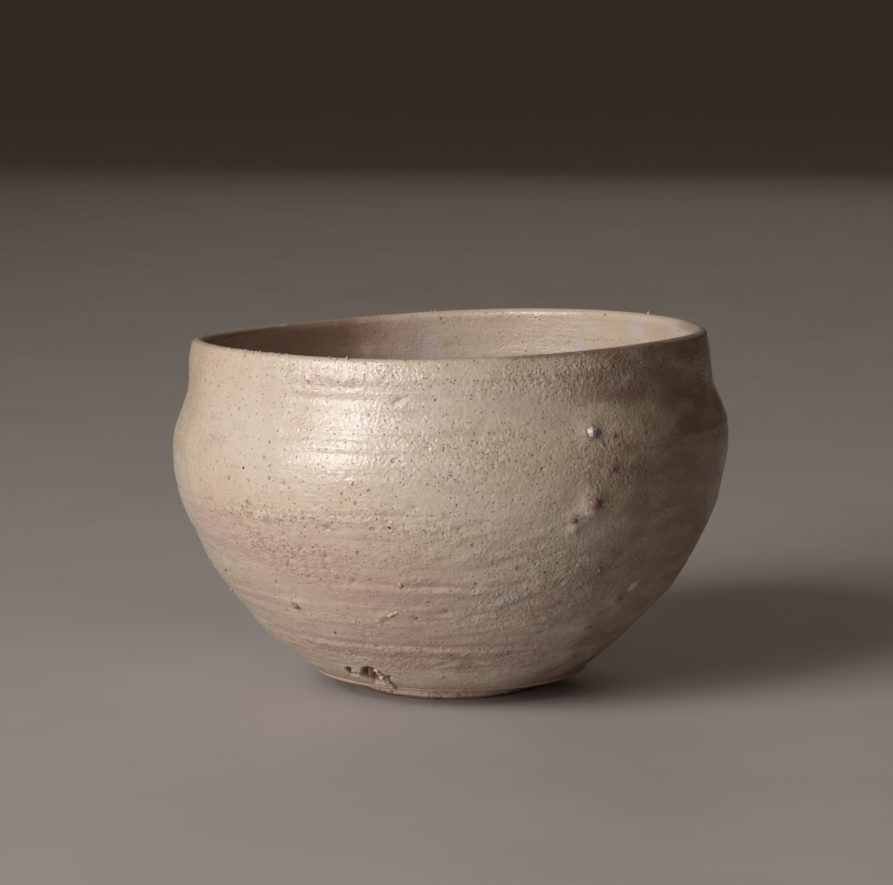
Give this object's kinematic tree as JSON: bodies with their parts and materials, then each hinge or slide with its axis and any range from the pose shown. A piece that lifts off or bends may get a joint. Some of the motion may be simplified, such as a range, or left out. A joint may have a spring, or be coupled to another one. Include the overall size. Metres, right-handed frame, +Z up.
{
  "type": "matcha bowl",
  "caption": "Hand-thrown stoneware tea bowl: full rounded body, soft shoulder, upright neck, gently leaning lip, low luted foot ring, thin cream and pink glaze.",
  "frame": {"origin": "on the table, under the middle of the foot ring", "axes": "+Z up, +Y towards the back of the bowl, +X to its right, where the lip stands higher"},
  "size_m": [0.124, 0.124, 0.0809],
  "materials": {
    "clay": "coarse sandy stoneware, fired to a pinkish buff, bare",
    "foot_clay": "bare to thinly washed stoneware, scorched orange brown at its lower edge",
    "slip": "dry fired slip",
    "outer_glaze": "thin semi-gloss feldspar glaze, cream to pale pink, pitted and specked with iron",
    "inner_glaze": "thin semi-gloss feldspar glaze, cream with milky bloom",
    "feldspar": "half-melted feldspar stones in a pink halo, glossy",
    "iron": "dark iron grains",
    "milky_glaze": "milky glossy beads of glaze",
    "grit": "crumbs of fired clay",
    "foot_grit": "pale kiln grit stuck to the foot"
  },
  "bodies": {
    "root": {"clay_body": "clay", "foot_ring": "foot_clay", "foot_slip": "slip", "outer_glaze": "outer_glaze", "inner_glaze": "inner_glaze", "feldspar_stones": "feldspar", "iron_grains": "iron", "glaze_drops": "milky_glaze", "lip_grit": "grit", "foot_grit": "foot_grit"}
  },
  "joints": []
}
